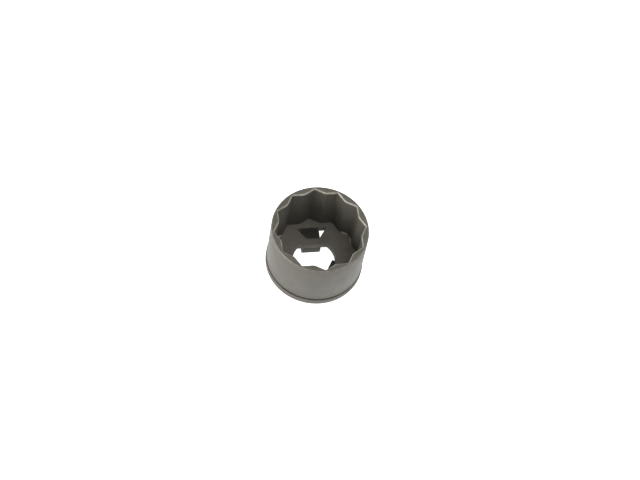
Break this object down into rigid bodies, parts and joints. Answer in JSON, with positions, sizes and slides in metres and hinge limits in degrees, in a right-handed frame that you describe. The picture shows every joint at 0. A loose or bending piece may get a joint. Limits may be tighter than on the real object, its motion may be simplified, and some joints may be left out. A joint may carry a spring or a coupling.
{
  "type": "oil filter wrench",
  "caption": "Cup wrench in dark phosphated steel: a broached twelve-point barrel welded to a base plate with a centre opening, a window and drive dogs beneath.",
  "frame": {"origin": "middle of the plane that the three drive dogs stand on, under the cup's axis", "axes": "+Z along the cup's axis towards its open rim; the back dog, the plate's window and the flat of the centre opening lie at +Y, the other two dogs 120 degrees round"},
  "size_m": [0.081, 0.081, 0.064],
  "materials": {
    "phosphated_steel": "dark grey-brown manganese phosphate over machined steel, oiled, matte to satin, worn brighter along edges",
    "weld_bead": "rippled fillet bead under the same phosphate"
  },
  "bodies": {
    "root": {"barrel": "phosphated_steel", "base_plate": "phosphated_steel", "drive_dog_back": "phosphated_steel", "drive_dog_left": "phosphated_steel", "drive_dog_right": "phosphated_steel", "dog_weld_back": "weld_bead", "dog_weld_left": "weld_bead", "dog_weld_right": "weld_bead", "window_weld": "weld_bead", "barrel_tack_welds": "weld_bead"}
  },
  "joints": []
}
